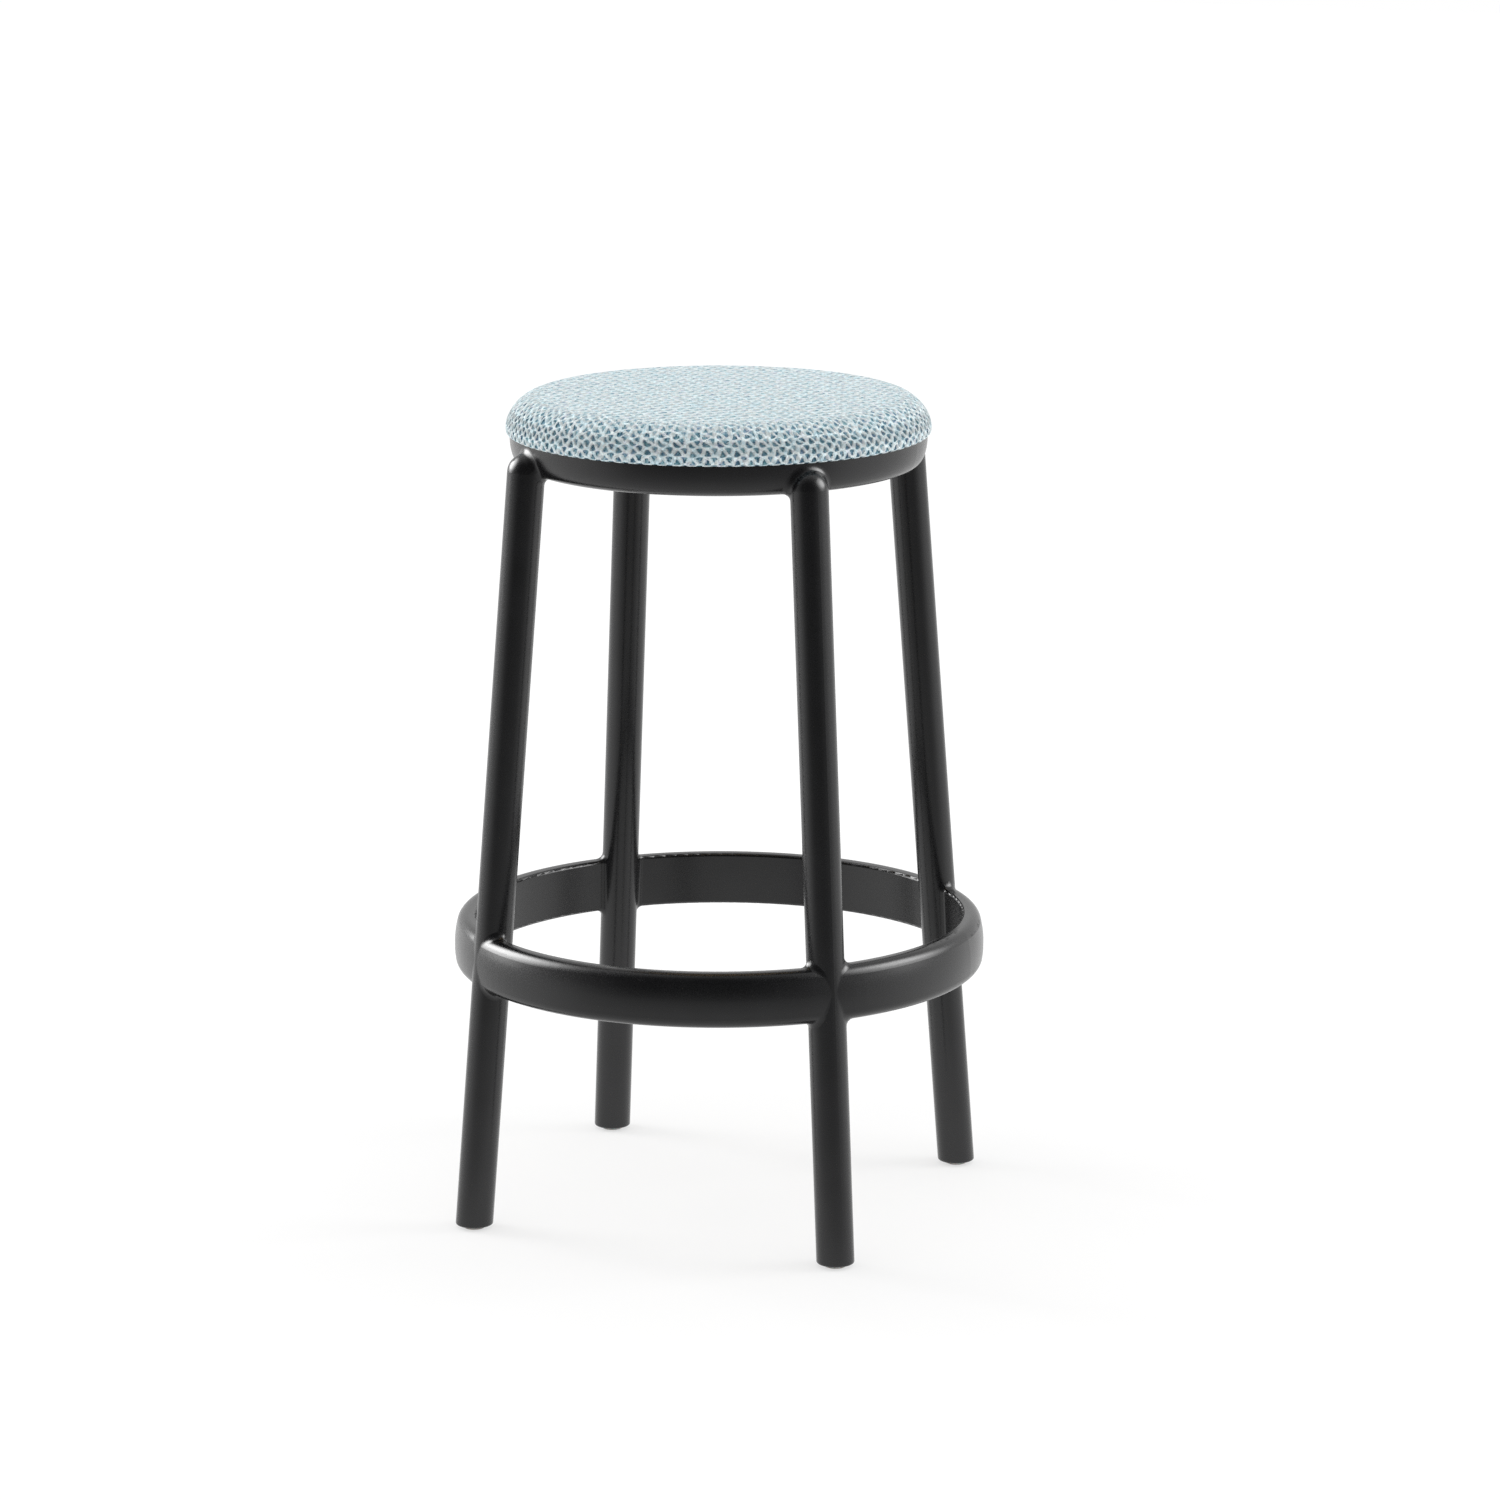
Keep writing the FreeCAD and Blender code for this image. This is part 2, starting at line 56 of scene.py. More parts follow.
def corners(node):
    """A node's lowest and highest corners, to the nearest micrometre."""
    return [[round(place, 6) for place in corner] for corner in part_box(node)]


# The seat's outline. Its radius and heights are those of the cover and the board.
COVER_LOW, COVER_HIGH = corners("seat_cover")
BOARD_LOW, BOARD_HIGH = corners("seat_board")
SEAT_RADIUS = COVER_HIGH[0]
SEAT_TOP = COVER_HIGH[2]
SEAT_UNDERSIDE = COVER_LOW[2]
BOARD_RADIUS = BOARD_HIGH[0]
BOARD_BOTTOM = BOARD_LOW[2]
BOARD_TOP = BOARD_HIGH[2]
CROWN_WIDTH = 30 * MM
CROWN_HEIGHT = 31 * MM
CROWN_FULLNESS = 0.485
LEVEL_RADIUS = SEAT_RADIUS - CROWN_WIDTH  # the top is level out to here
HEM_FULLNESS = 0.8
HEM_CORNER_RADIUS = SEAT_RADIUS - 5 * MM
HEM_RADIUS = 158.4 * MM
CROWN_POINTS = 200
TURN_POINTS = 60
COVER_THICKNESS = 1.5 * MM
FIT = 0.1 * MM

# The knit. Blue spots sit in staggered columns, and one row of them is one course.
COLUMNS_ROUND = 192
CORNER_PULL = 0.75  # columns by which the four corners of the knit are drawn together
COURSE = 8.72 * MM
FIRST_COLUMN = 0.5  # where the first spot hangs, in columns round from the front
LEAN = 0.45  # columns by which the upper courses slip round
TOP_COLUMN = 8.58 * MM
TOP_COURSE = 8.58 * MM
TOP_STEP = 1  # columns by which each course on the top steps sideways
BAND_START = LEVEL_RADIUS - 0.8 * MM  # from the centre along the seat's outside
SPOT_DEPTH = 1.35 * MM
TOP_STRENGTH = 0.58  # how deep and blue the spots are where the knit lies slack on top
# The knit is pulled from slack to firm between these distances along the outside.
FIRM_FROM = (LEVEL_RADIUS - 1 * MM, LEVEL_RADIUS + 33 * MM)
UPPER_COURSES = (LEVEL_RADIUS + 30 * MM, LEVEL_RADIUS + 36 * MM)  # they end between these
WANDER_ACROSS = 0.11  # columns
WANDER_DOWN = 0.07  # courses
WANDER_ABOVE = 1.4  # how much more the knit wanders where it is stretched at the top
WANDER_SEEDS = (11, 12)  # of the random shifts across and down
WANDER_COURSES = 64  # after this many courses the random shifts repeat
# A spot's half width in columns, and where it starts and ends down its course.
HANGING = {"widths": (0.46, 0.06), "start": 0.10, "end": 0.76}
STANDING = {"widths": (0.06, 0.46), "start": 0.28, "end": 0.92}
STANDING_SHIFT = 0.08  # columns by which standing spots sit to the right of midway
SPOT_EDGE = 0.10
# How far a spot leans along its course, in columns: where the side starts and at the hem.
SKEW = (0.30, 0.10)
SKEW_CHANGE = (LEVEL_RADIUS + 27 * MM, LEVEL_RADIUS + 45 * MM)
ZIGZAG = 0.11  # courses by which hanging spots start higher and standing ones end lower

# The meshes of the cover.
SHARP_EDGE = math.radians(60)
POINTS_TO_A_COLUMN = 6
BAND_ROWS = 46  # from the top of the band to the hem's corner
HEM_ROWS = 10  # from the hem's corner to its edge
# The rows of the band's inner face: past the hem's corner, then past the level top.
INNER_HEM_ROW = 8 * MM
INNER_ROWS = (49 * MM, 43 * MM, 35 * MM, 25 * MM, 15 * MM, 7 * MM)
RELIEF_FADE_AT_HEM = 4 * MM
RELIEF_FADE_AT_BAND = 1 * MM
RELIEF_FADE_AT_PANEL = 1.5 * MM
PANEL_CELL = 1.2 * MM

# The blown pad form.
FORM_INSET = 0.5 * MM
FORM_CELL = 5 * MM
FORM_PRESSURE = 4
FORM_FRAMES = 20
FORM_SWELL = 0.9 * MM  # the foam is bonded to the cover, so it swells no more than this
# Between these the swell fades, because the hem holds the cover to the board.
FORM_FADE = (LEVEL_RADIUS + 35 * MM, LEVEL_RADIUS + 45 * MM)
FORM_ROUND = 96
FORM_ROWS = 61
FORM_STEP = 4 * MM
FORM_REACH = 6 * MM  # how far outside the outline the form is looked for
FORM_RESTING = 2 * MM  # the form is held by the board up to this height over it


def linear(code):
    """A colour written as sRGB hex, turned to linear red, green, blue and alpha."""
    parts = [int(code[i:i + 2], 16) / 255 for i in (1, 3, 5)]
    return tuple(c / 12.92 if c <= 0.04045 else ((c + 0.055) / 1.055) ** 2.4
                 for c in parts) + (1.0,)


# ---------------------------------------------------------------- materials


def add(tree, kind, inputs=None, stops=None, **settings):
    """Add one node. An input is a plain value or the output that feeds it."""
    node = tree.nodes.new(kind)
    for name, value in settings.items():
        setattr(node, name, value)
    if stops:
        ramp = node.color_ramp
        while len(ramp.elements) < len(stops):
            ramp.elements.new(1.0)
        for element, (place, colour) in zip(ramp.elements, stops):
            element.position = place
            element.color = colour
    for socket, value in (inputs or {}).items():
        if isinstance(value, bpy.types.NodeSocket):
            tree.links.new(value, node.inputs[socket])
        else:
            node.inputs[socket].default_value = value
    return node


def new_material(name):
    """An empty node material and its tree."""
    material = bpy.data.materials.new(name)
    material.use_nodes = True
    material.node_tree.nodes.clear()
    return material, material.node_tree


def finish_material(tree, surface):
    add(tree, "ShaderNodeOutputMaterial", {"Surface": surface.outputs[0]})


def moulded_plastic(name, dark, light, roughness, ior, grain, relief, bounce=0.0):
    """Thermoplastic moulded in a spark-eroded steel tool.

    The tool's fine pitting gives the skin an even grain, so highlights are broad, soft and
    slightly broken. A real grain is about 0.3 mm across; it is drawn coarser so it shows.
    """
    flow_mark = 35 * MM
    uneven = 0.05
    material, tree = new_material(name)
    place = add(tree, "ShaderNodeTexCoord").outputs["Object"]
    pitting = add(tree, "ShaderNodeTexNoise",
                  {"Vector": place, "Scale": 1 / grain, "Detail": 2.0, "Roughness": 0.6})
    flow = add(tree, "ShaderNodeTexNoise",
               {"Vector": place, "Scale": 1 / flow_mark, "Detail": 2.0, "Roughness": 0.5})
    tone = add(tree, "ShaderNodeMath",
               {0: pitting.outputs["Fac"], 1: flow.outputs["Fac"]}, operation="MULTIPLY")
    colour = add(tree, "ShaderNodeValToRGB", {"Fac": tone.outputs[0]},
                 stops=[(0.12, linear(dark)), (0.42, linear(light))])
    rough = add(tree, "ShaderNodeMapRange",
                {"Value": pitting.outputs["Fac"], "From Min": 0.3, "From Max": 0.7,
                 "To Min": roughness - uneven, "To Max": roughness + uneven})
    bump = add(tree, "ShaderNodeBump",
               {"Height": pitting.outputs["Fac"], "Distance": relief, "Strength": 1.0})
    skin = add(tree, "ShaderNodeBsdfPrincipled",
               {"Base Color": colour.outputs["Color"], "Roughness": rough.outputs[0],
                "IOR": ior, "Normal": bump.outputs["Normal"],
                "Subsurface Weight": bounce, "Subsurface Scale": 3 * MM})
    finish_material(tree, skin)
    return material


def glass_filled_nylon():
    """Black glass-filled nylon 6: satin, nearly neutral black, with a fine moulded grain.

    Its gloss shows pale edges and small soft highlights on a very dark face.
    """
    return moulded_plastic("glass_filled_nylon", "#08080A", "#111113", 0.25, 1.53,
                           1.4 * MM, 0.03 * MM)


def plug_polypropylene():
    """Black polypropylene leg plug: a little greyer and more waxy than the nylon."""
    return moulded_plastic("plug_polypropylene", "#1B1B1C", "#2A2A2B", 0.5, 1.49,
                           1.2 * MM, 0.04 * MM)


def natural_nylon():
    """Undyed nylon 6 glide: milky grey, and light passes a few millimetres into it."""
    return moulded_plastic("natural_nylon", "#C4C2BB", "#DAD8D2", 0.45, 1.53,
                           1.2 * MM, 0.02 * MM, bounce=0.3)


def birch_plywood():
    """Rotary-cut birch plywood, sanded: pale wood with long soft figure, thin plies."""
    figure_per_metre = (6.0, 60.0, 900.0)  # along the grain, across it and through it
    fibre_per_metre = (60.0, 900.0, 900.0)
    ply_thickness = 2.4 * MM
    ply_edge = (1.0 * MM, 1.4 * MM)
    material, tree = new_material("birch_plywood")
    place = add(tree, "ShaderNodeTexCoord").outputs["Object"]
    along = add(tree, "ShaderNodeMapping", {"Vector": place, "Scale": figure_per_metre})
    figure = add(tree, "ShaderNodeTexNoise",
                 {"Vector": along.outputs[0], "Scale": 1.0, "Detail": 5.0,
                  "Roughness": 0.55, "Distortion": 0.6})
    fine = add(tree, "ShaderNodeMapping", {"Vector": place, "Scale": fibre_per_metre})
    fibre = add(tree, "ShaderNodeTexNoise",
                {"Vector": fine.outputs[0], "Scale": 1.0, "Detail": 2.0})
    height = add(tree, "ShaderNodeSeparateXYZ", {"Vector": place}).outputs["Z"]
    ply = add(tree, "ShaderNodeMath", {0: height, 1: ply_thickness},
              operation="PINGPONG")
    plies = add(tree, "ShaderNodeMapRange",
                {"Value": ply.outputs[0], "From Min": ply_edge[0],
                 "From Max": ply_edge[1]})
    wood = add(tree, "ShaderNodeValToRGB", {"Fac": figure.outputs["Fac"]},
               stops=[(0.30, linear("#C79F6B")), (0.5, linear("#DDBE8E")),
                      (0.72, linear("#E9D3A9"))])
    layered = add(tree, "ShaderNodeMix",
                  {0: plies.outputs[0], 6: wood.outputs["Color"], 7: linear("#BC9563")},
                  data_type="RGBA")
    bump = add(tree, "ShaderNodeBump",
               {"Height": fibre.outputs["Fac"], "Distance": 0.08 * MM, "Strength": 0.8})
    surface = add(tree, "ShaderNodeBsdfPrincipled",
                  {"Base Color": layered.outputs[2], "Roughness": 0.62,
                   "Normal": bump.outputs["Normal"]})
    finish_material(tree, surface)
    return material


def bare_metal(name, dark, light, roughness, grain):
    """Worked metal with a fine directionless grain in its polish.

    A real crystal grain is well under 0.1 mm across; it is drawn coarser so it shows.
    """
    uneven = 0.06
    material, tree = new_material(name)
    place = add(tree, "ShaderNodeTexCoord").outputs["Object"]
    crystal = add(tree, "ShaderNodeTexNoise",
                  {"Vector": place, "Scale": 1 / grain, "Detail": 3.0, "Roughness": 0.6})
    colour = add(tree, "ShaderNodeValToRGB", {"Fac": crystal.outputs["Fac"]},
                 stops=[(0.35, linear(dark)), (0.65, linear(light))])
    rough = add(tree, "ShaderNodeMapRange",
                {"Value": crystal.outputs["Fac"], "From Min": 0.3, "From Max": 0.7,
                 "To Min": roughness - uneven, "To Max": roughness + uneven})
    bump = add(tree, "ShaderNodeBump",
               {"Height": crystal.outputs["Fac"], "Distance": 0.02 * MM, "Strength": 0.6})
    surface = add(tree, "ShaderNodeBsdfPrincipled",
                  {"Base Color": colour.outputs["Color"], "Metallic": 1.0,
                   "Roughness": rough.outputs[0], "Normal": bump.outputs["Normal"]})
    finish_material(tree, surface)
    return material


def zinc_plated_steel():
    """Steel, barrel zinc plated and passivated: bright grey with a faint blue bloom."""
    return bare_metal("zinc_plated_steel", "#AEB4B8", "#CFD3D4", 0.32, 1.5 * MM)


def extruded_aluminium():
    """Extruded aluminium tube as drawn: pale and satin."""
    return bare_metal("extruded_aluminium", "#C9CACB", "#DCDDDD", 0.36, 1.0 * MM)


def open_cell_foam():
    """Moulded polyurethane foam: matt, off-white, with open cells about 1 mm across, the
    hollow of each cell painted darker as shade.
    """
    cell = 1.2 * MM
    material, tree = new_material("open_cell_foam")
    place = add(tree, "ShaderNodeTexCoord").outputs["Object"]
    cells = add(tree, "ShaderNodeTexVoronoi",
                {"Vector": place, "Scale": 1 / cell}, feature="F1")
    # painted shade: each cell is darker at its hollow middle and paler toward its raised rim
    colour = add(tree, "ShaderNodeValToRGB", {"Fac": cells.outputs["Distance"]},
                 stops=[(0.0, linear("#BDB9AA")), (0.7, linear("#E4E1D5"))])
    bump = add(tree, "ShaderNodeBump",
               {"Height": cells.outputs["Distance"], "Distance": 0.5 * MM})
    surface = add(tree, "ShaderNodeBsdfPrincipled",
                  {"Base Color": colour.outputs["Color"], "Roughness": 0.95,
                   "Normal": bump.outputs["Normal"]})
    finish_material(tree, surface)
    return material


def spot_in_shader(tree, off_centre, down, spot, fray):
    """One family of spots: 1 inside, 0 on the ribbons. off_centre and fray are in columns."""
    first, last = spot["start"], spot["end"]
    at_first, at_last = spot["widths"]
    slope = (at_last - at_first) / (last - first)
    width = add(tree, "ShaderNodeMath", {0: down, 1: slope, 2: at_first - slope * first},
                operation="MULTIPLY_ADD").outputs[0]
    width = add(tree, "ShaderNodeMath", {0: width, 1: fray}, operation="ADD").outputs[0]
    inside = add(tree, "ShaderNodeMath", {0: width, 1: off_centre},
                 operation="SUBTRACT").outputs[0]
    product = 1.0
    for value, edge, before, after in [(inside, 0.0, 0.0, 1.0), (down, first, 0.0, 1.0),
                                       (down, last, 1.0, 0.0)]:
        soft = add(tree, "ShaderNodeMapRange",
                   {"Value": value, "From Min": edge - SPOT_EDGE / 2,
                    "From Max": edge + SPOT_EDGE / 2, "To Min": before, "To Max": after},
                   interpolation_type="SMOOTHSTEP")
        product = add(tree, "ShaderNodeMath", {0: soft.outputs[0], 1: product},
                      operation="MULTIPLY").outputs[0]
    return product


def grey(level):
    return (level, level, level, 1.0)


def weighted_sum(tree, start, parts):
    """start plus each part times its weight."""
    total = start
    for part, weight in parts:
        total = add(tree, "ShaderNodeMath", {0: part, 1: weight, 2: total},
                    operation="MULTIPLY_ADD").outputs[0]
    return total


def knit_layout(tree, knit):
    """How far down its course a point lies, from 0 to 1, its course and its column."""
    split = add(tree, "ShaderNodeSeparateXYZ", {"Vector": knit}).outputs
    down = add(tree, "ShaderNodeMath", {0: split["Y"]}, operation="FRACT").outputs[0]
    course = add(tree, "ShaderNodeMath", {0: split["Y"]}, operation="FLOOR").outputs[0]
    column = add(tree, "ShaderNodeMath", {0: course, 1: split["Z"], 2: split["X"]},
                 operation="MULTIPLY_ADD").outputs[0]
    return down, course, column


def spun_yarn(tree, knit, place):
    """Light and dark flecks loop by loop, and soft streaks that follow the knit."""
    loop = 2.1 * MM
    streak_size = 2.0 * MM
    column_and_course = (6.6 * MM, 3.0 * MM, 1.0)
    loops = add(tree, "ShaderNodeTexVoronoi", {"Vector": place, "Scale": 1 / loop},
                feature="F1")
    fleck = add(tree, "ShaderNodeSeparateColor",
                {"Color": loops.outputs["Color"]}).outputs["Red"]
    along = add(tree, "ShaderNodeMapping", {"Vector": knit, "Scale": column_and_course})
    streak = add(tree, "ShaderNodeTexNoise",
                 {"Vector": along.outputs[0], "Scale": 1 / streak_size, "Detail": 2.0,
                  "Roughness": 0.6}).outputs["Fac"]
    return fleck, streak


def spot_tones(tree, course, column):
    """Each spot's own chance tone, and the tone that its column repeats by fours."""
    own_column = add(tree, "ShaderNodeMath", {0: column}, operation="ROUND").outputs[0]
    own_place = add(tree, "ShaderNodeCombineXYZ", {"X": own_column, "Y": course})
    chance = add(tree, "ShaderNodeTexWhiteNoise", {"Vector": own_place.outputs[0]},
                 noise_dimensions="2D").outputs["Value"]
    fours = add(tree, "ShaderNodeMath", {0: own_column, 1: 1 / 4}, operation="MULTIPLY")
    step = add(tree, "ShaderNodeMath", {0: fours.outputs[0]}, operation="FRACT")
    repeat = add(tree, "ShaderNodeValToRGB", {"Fac": step.outputs[0]},
                 stops=[(0.0, grey(0.75)), (0.2, grey(0.85)), (0.45, grey(0.15)),
                        (0.7, grey(0.45))])
    repeat.color_ramp.interpolation = "CONSTANT"
    return chance, repeat.outputs["Color"]


def both_spots(tree, column, down, fray):
    """1 inside the hanging and the standing spots, and 0 on the ribbons."""
    off_even = add(tree, "ShaderNodeMath", {0: column, 1: 1.0},
                   operation="PINGPONG").outputs[0]
    shifted = add(tree, "ShaderNodeMath", {0: column, 1: 1 - STANDING_SHIFT},
                  operation="ADD").outputs[0]
    off_odd = add(tree, "ShaderNodeMath", {0: shifted, 1: 1.0},
                  operation="PINGPONG").outputs[0]
    hanging = spot_in_shader(tree, off_even, down, HANGING, fray)
    standing = spot_in_shader(tree, off_odd, down, STANDING, fray)
    return add(tree, "ShaderNodeMath", {0: hanging, 1: standing},
               operation="MAXIMUM").outputs[0]


def ground_blue(tree, down, strength, tones, hue_noise):
    """The blue of the ground: deepest mid-course, where the two ribbons meet."""
    meeting = add(tree, "ShaderNodeValToRGB", {"Fac": down},
                  stops=[(0.10, grey(0.25)), (0.35, grey(0.9)), (0.60, grey(0.85)),
                         (0.95, grey(0.3))])
    full_shade = 4.4
    repeat, chance, accents, fleck = tones
    shade = weighted_sum(tree, repeat, [(chance, 0.4), (meeting.outputs["Color"], 0.8),
                                        (accents, 1.6), (fleck, 1.2)])
    share = add(tree, "ShaderNodeMath", {0: shade, 1: 1 / full_shade}, operation="MULTIPLY")
    share = add(tree, "ShaderNodeMath", {0: share.outputs[0], 1: strength},
                operation="MULTIPLY")
    blue = add(tree, "ShaderNodeValToRGB", {"Fac": share.outputs[0]},
               stops=[(0.10, linear("#C3D5DB")), (0.28, linear("#A9C3CE")),
                      (0.46, linear("#88ACBA")), (0.62, linear("#6690A1")),
                      (0.80, linear("#375B6C"))])
    hue = add(tree, "ShaderNodeMapRange",
              {"Value": hue_noise, "From Min": 0.3, "From Max": 0.7,
               "To Min": 0.47, "To Max": 0.54})
    return add(tree, "ShaderNodeHueSaturation",
               {"Color": blue.outputs["Color"], "Hue": hue.outputs[0]}).outputs["Color"]


def ribbon_pale(tree, down, twist, hue_noise):
    """The pale ribbons: flecked beige and lilac, a little greyer in the middle."""
    pale = add(tree, "ShaderNodeValToRGB", {"Fac": hue_noise},
               stops=[(0.32, linear("#C3DFEA")), (0.45, linear("#DFF2F7")),
                      (0.55, linear("#EAF1F0")), (0.68, linear("#D3DEEE"))])
    worn = add(tree, "ShaderNodeMapRange",
               {"Value": twist, "From Min": 0.45, "From Max": 0.85,
                "To Min": 0.73, "To Max": 1.21})
    middle = add(tree, "ShaderNodeValToRGB", {"Fac": down},
                 stops=[(0.0, grey(1.0)), (0.15, grey(1.0)), (0.35, grey(0.84)),
                        (0.70, grey(0.84)), (0.90, grey(1.0))])
    worn = add(tree, "ShaderNodeMath",
               {0: worn.outputs[0], 1: middle.outputs["Color"]}, operation="MULTIPLY")
    return add(tree, "ShaderNodeHueSaturation",
               {"Color": pale.outputs["Color"], "Value": worn.outputs[0]}).outputs["Color"]


def knitted_cover():
    """Flat-knitted polyester: raised pale ribbons over a blue ground that shows as spots.

    The ribbons are spun yarn with faint beige and lilac flecks, matt with a soft bloom at
    a low angle. Each spot is darkest where its two ribbons meet. The yarn is about 0.5 mm
    thick; its loops are drawn 2 mm across so that they show.
    """
    material, tree = new_material("knitted_cover")
    place = add(tree, "ShaderNodeTexCoord").outputs["Object"]
    knit = add(tree, "ShaderNodeAttribute", attribute_name="knit",
               attribute_type="GEOMETRY").outputs["Vector"]
    strength = add(tree, "ShaderNodeAttribute", attribute_name="strength",
                   attribute_type="GEOMETRY").outputs["Fac"]
    down, course, column = knit_layout(tree, knit)
    fleck, streak = spun_yarn(tree, knit, place)
    accents = add(tree, "ShaderNodeMapRange",
                  {"Value": streak, "From Min": 0.40, "From Max": 0.60}).outputs[0]
    twist = weighted_sum(tree, streak, [(fleck, 0.3)])
    chance, repeat = spot_tones(tree, course, column)
    narrowest = -0.40
    fray = weighted_sum(tree, narrowest, [(fleck, 0.14), (accents, 0.18), (repeat, 0.12),
                                          (strength, 0.16)])
    spots = both_spots(tree, column, down, fray)

    dye_patch = 6 * MM
    hue_noise = add(tree, "ShaderNodeTexNoise",
                    {"Vector": place, "Scale": 1 / dye_patch, "Detail": 3.0,
                     "Roughness": 0.8}).outputs["Fac"]
    blue = ground_blue(tree, down, strength, (repeat, chance, accents, fleck), hue_noise)
    pale = ribbon_pale(tree, down, twist, hue_noise)
    colour = add(tree, "ShaderNodeMix", {0: spots, 6: pale, 7: blue}, data_type="RGBA")

    height = weighted_sum(tree, twist, [(spots, -0.7)])
    bump = add(tree, "ShaderNodeBump",
               {"Height": height, "Distance": 0.8 * MM, "Strength": 0.9})
    cloth = add(tree, "ShaderNodeBsdfPrincipled",
                {"Base Color": colour.outputs[2], "Roughness": 0.92, "IOR": 1.4,
                 "Sheen Weight": 0.12, "Sheen Roughness": 0.5,
                 "Normal": bump.outputs["Normal"]})
    finish_material(tree, cloth)
    return material


# ---------------------------------------------------------------- the seat's outline


def smooth(value, low, high):
    """0 below low, 1 above high and smooth between."""
    t = np.clip((value - low) / (high - low), 0, 1)
    return t * t * (3 - 2 * t)


def bezier(ends, count):
    """Points along a cubic curve through four radius and height poles."""
    t = np.linspace(0, 1, count)[:, None]
    a, b, c, d = (np.array(p) for p in ends)
    return (1 - t) ** 3 * a + 3 * (1 - t) ** 2 * t * b + 3 * (1 - t) * t ** 2 * c + t ** 3 * d


def seat_outline():
    """Radius and height down the seat's outside, from its centre to the hem's edge."""
    shoulder = SEAT_TOP - CROWN_HEIGHT
    full = CROWN_FULLNESS
    drop = shoulder - SEAT_UNDERSIDE
    tuck = SEAT_RADIUS - HEM_CORNER_RADIUS
    crown = bezier([(LEVEL_RADIUS, SEAT_TOP), (LEVEL_RADIUS + full * CROWN_WIDTH, SEAT_TOP),
                    (SEAT_RADIUS, shoulder + full * CROWN_HEIGHT), (SEAT_RADIUS, shoulder)],
                   CROWN_POINTS)
    turn = bezier([(SEAT_RADIUS, shoulder), (SEAT_RADIUS, shoulder - HEM_FULLNESS * drop),
                   (HEM_CORNER_RADIUS + HEM_FULLNESS * tuck, SEAT_UNDERSIDE),
                   (HEM_CORNER_RADIUS, SEAT_UNDERSIDE)], TURN_POINTS)
    return np.vstack([[(0, SEAT_TOP)], crown, turn[1:], [(HEM_RADIUS, SEAT_UNDERSIDE)]])


OUTLINE = seat_outline()
ALONG = np.concatenate([[0], np.cumsum(np.hypot(*np.diff(OUTLINE, axis=0).T))])
CORNER_ALONG = ALONG[-2]


def on_outline(along):
    """Radius, height and outward direction at distances along the outline."""
    radius = np.interp(along, ALONG, OUTLINE[:, 0])
    height = np.interp(along, ALONG, OUTLINE[:, 1])
    near = 0.3 * MM
    ahead = np.clip(along + near, 0, ALONG[-1])
    behind = np.clip(along - near, 0, ALONG[-1])
    out = np.interp(ahead, ALONG, OUTLINE[:, 0]) - np.interp(behind, ALONG, OUTLINE[:, 0])
    up = np.interp(ahead, ALONG, OUTLINE[:, 1]) - np.interp(behind, ALONG, OUTLINE[:, 1])
    size = np.hypot(out, up)
    return radius, height, -up / size, out / size


def placed(along, azimuth, stand):
    """Points on the seat, stand being how far each lies outside the outline."""
    radius, height, out, up = on_outline(along)
    across = radius + stand * out
    return np.stack([across * np.sin(azimuth), -across * np.cos(azimuth),
                     height + stand * up], axis=-1)


# ---------------------------------------------------------------- meshes


def piece_of(name, points, faces, material, knit=None, strength=None):
    """A smooth-shaded object from arrays. knit and strength are one to a face corner."""
    mesh = bpy.data.meshes.new(name)
    mesh.from_pydata(points.reshape(-1, 3).tolist(), [], faces)
    if knit is not None:
        layer = mesh.attributes.new("knit", "FLOAT_VECTOR", "CORNER")
        layer.data.foreach_set("vector", knit.reshape(-1).astype(np.float32))
        layer = mesh.attributes.new("strength", "FLOAT", "CORNER")
        layer.data.foreach_set("value", strength.reshape(-1).astype(np.float32))
    mesh.materials.append(material)
    mesh.shade_smooth()
    mesh.set_sharp_from_angle(angle=SHARP_EDGE)
    mesh.update()
    piece = bpy.data.objects.new(name, mesh)
    bpy.context.scene.collection.objects.link(piece)
    return piece


def ring_faces(rows, columns, closed):
    """Faces between rings of points, and each face corner's row and unwrapped column."""
    last = rows if closed else rows - 1
    row, column = np.meshgrid(np.arange(last), np.arange(columns), indexing="ij")
    corner_row = np.stack([row, row + 1, row + 1, row], axis=-1)
    corner_column = np.stack([column, column, column + 1, column + 1], axis=-1)
    index = (corner_row % rows) * columns + corner_column % columns
    return index.reshape(-1, 4), corner_row.reshape(-1, 4), corner_column.reshape(-1, 4)


# ---------------------------------------------------------------- the pad form


def turned_form():
    """The seat's outline spun into a closed solid, a little smaller than it ends up."""
    stations = np.append(np.arange(FORM_STEP, CORNER_ALONG, FORM_STEP), CORNER_ALONG)
    azimuths = np.arange(FORM_ROUND) * 2 * math.pi / FORM_ROUND
    along, azimuth = np.meshgrid(stations, azimuths, indexing="ij")
    points = placed(along, azimuth, np.full(along.shape, -FORM_INSET))
    faces = ring_faces(len(stations), FORM_ROUND, False)[0].tolist()
    top = list(range(FORM_ROUND))
    bottom = [(len(stations) - 1) * FORM_ROUND + i for i in reversed(range(FORM_ROUND))]
    mesh = bpy.data.meshes.new("pad_form")
    mesh.from_pydata(points.reshape(-1, 3).tolist(), [], faces + [top, bottom])
    form = bpy.data.objects.new("pad_form", mesh)
    bpy.context.scene.collection.objects.link(form)
    return form


